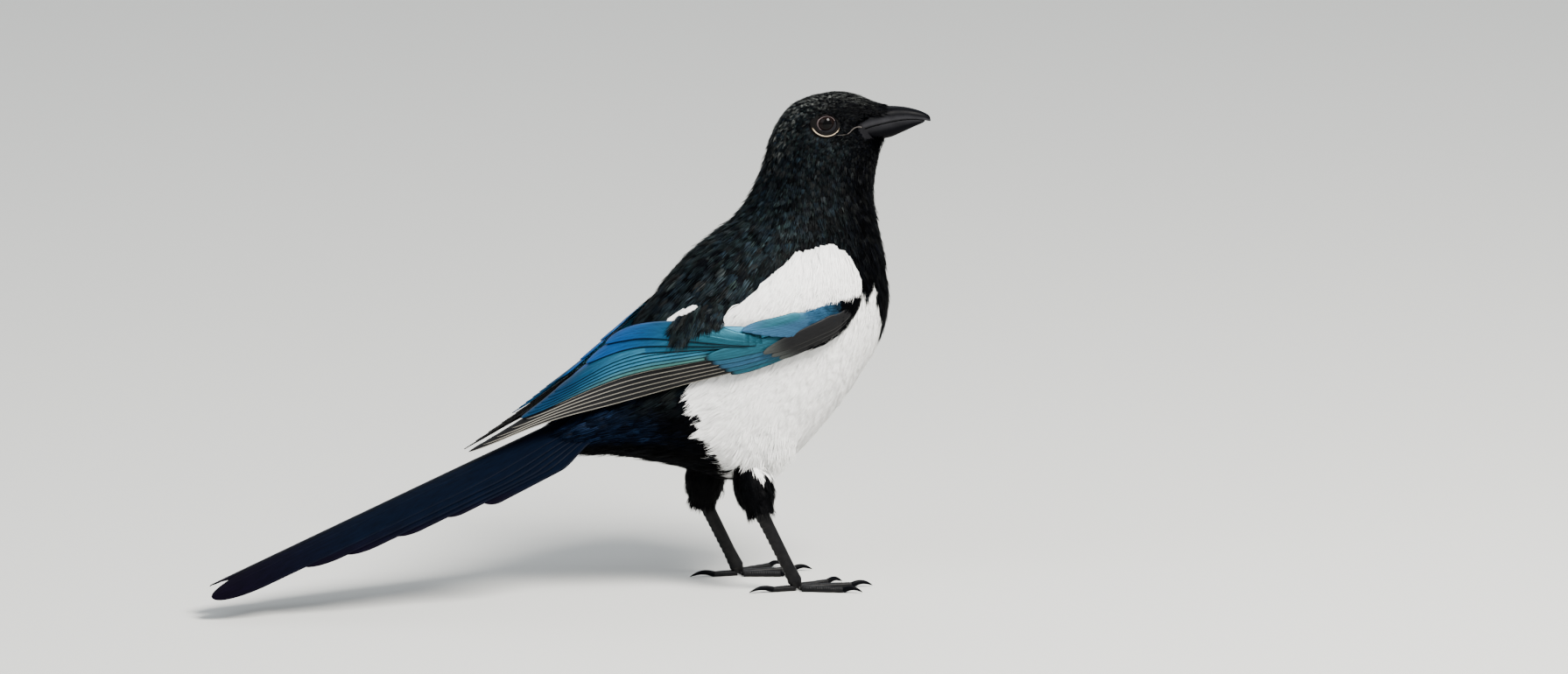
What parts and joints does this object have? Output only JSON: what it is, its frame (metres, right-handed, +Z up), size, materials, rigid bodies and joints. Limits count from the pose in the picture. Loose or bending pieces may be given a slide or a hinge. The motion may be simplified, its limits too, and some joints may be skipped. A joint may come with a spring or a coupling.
{
  "type": "eurasian magpie, still model",
  "caption": "Life-size still model of a Eurasian magpie standing with its head raised, its wings folded and its long tail sloping down behind.",
  "frame": {"origin": "on the floor, below the middle of the bird's box, on its lengthways middle line", "axes": "+X from the tail towards the bill, +Y towards the bird's left, +Z up"},
  "size_m": [0.3565, 0.0848, 0.2362],
  "materials": {
    "plumage_black": "soft black body feathers with a faint grey-blue sheen",
    "plumage_white": "soft pure white body feathers",
    "plumage_blue": "glossy blue to teal wing feathers",
    "plumage_grey": "dark primaries with grey-brown edges",
    "tail_black": "long navy-black tail feathers with a satin gloss",
    "horn": "satin black horn of the bill and claws",
    "eye": "wet, very dark brown eye",
    "leg_scales": "black scaled leg skin"
  },
  "bodies": {
    "root": {"bill_lower": "horn", "bill_upper": "horn", "claw_hind_left": "horn", "claw_hind_right": "horn", "claw_inner_left": "horn", "claw_inner_right": "horn", "claw_middle_left": "horn", "claw_middle_right": "horn", "claw_outer_left": "horn", "claw_outer_right": "horn", "coverts_left": "plumage_blue", "coverts_right": "plumage_blue", "eye_left": "eye", "eye_right": "eye", "head": "plumage_black", "neck": "plumage_black", "primaries_left": "plumage_grey", "primaries_right": "plumage_grey", "rump": "plumage_black", "scapulars_left": "plumage_white", "scapulars_right": "plumage_white", "secondaries_left": "plumage_blue", "secondaries_right": "plumage_blue", "shank_left": "leg_scales", "shank_right": "leg_scales", "tail_1_left": "tail_black", "tail_1_right": "tail_black", "tail_2_left": "tail_black", "tail_2_right": "tail_black", "tail_3_left": "tail_black", "tail_3_right": "tail_black", "tail_4_left": "tail_black", "tail_4_right": "tail_black", "tail_5_left": "tail_black", "tail_5_right": "tail_black", "tail_6_left": "tail_black", "tail_6_right": "tail_black", "thigh_left": "plumage_black", "thigh_right": "plumage_black", "toe_hind_left": "leg_scales", "toe_hind_right": "leg_scales", "toe_inner_left": "leg_scales", "toe_inner_right": "leg_scales", "toe_middle_left": "leg_scales", "toe_middle_right": "leg_scales", "toe_outer_left": "leg_scales", "toe_outer_right": "leg_scales", "trunk": "plumage_white"}
  },
  "joints": []
}
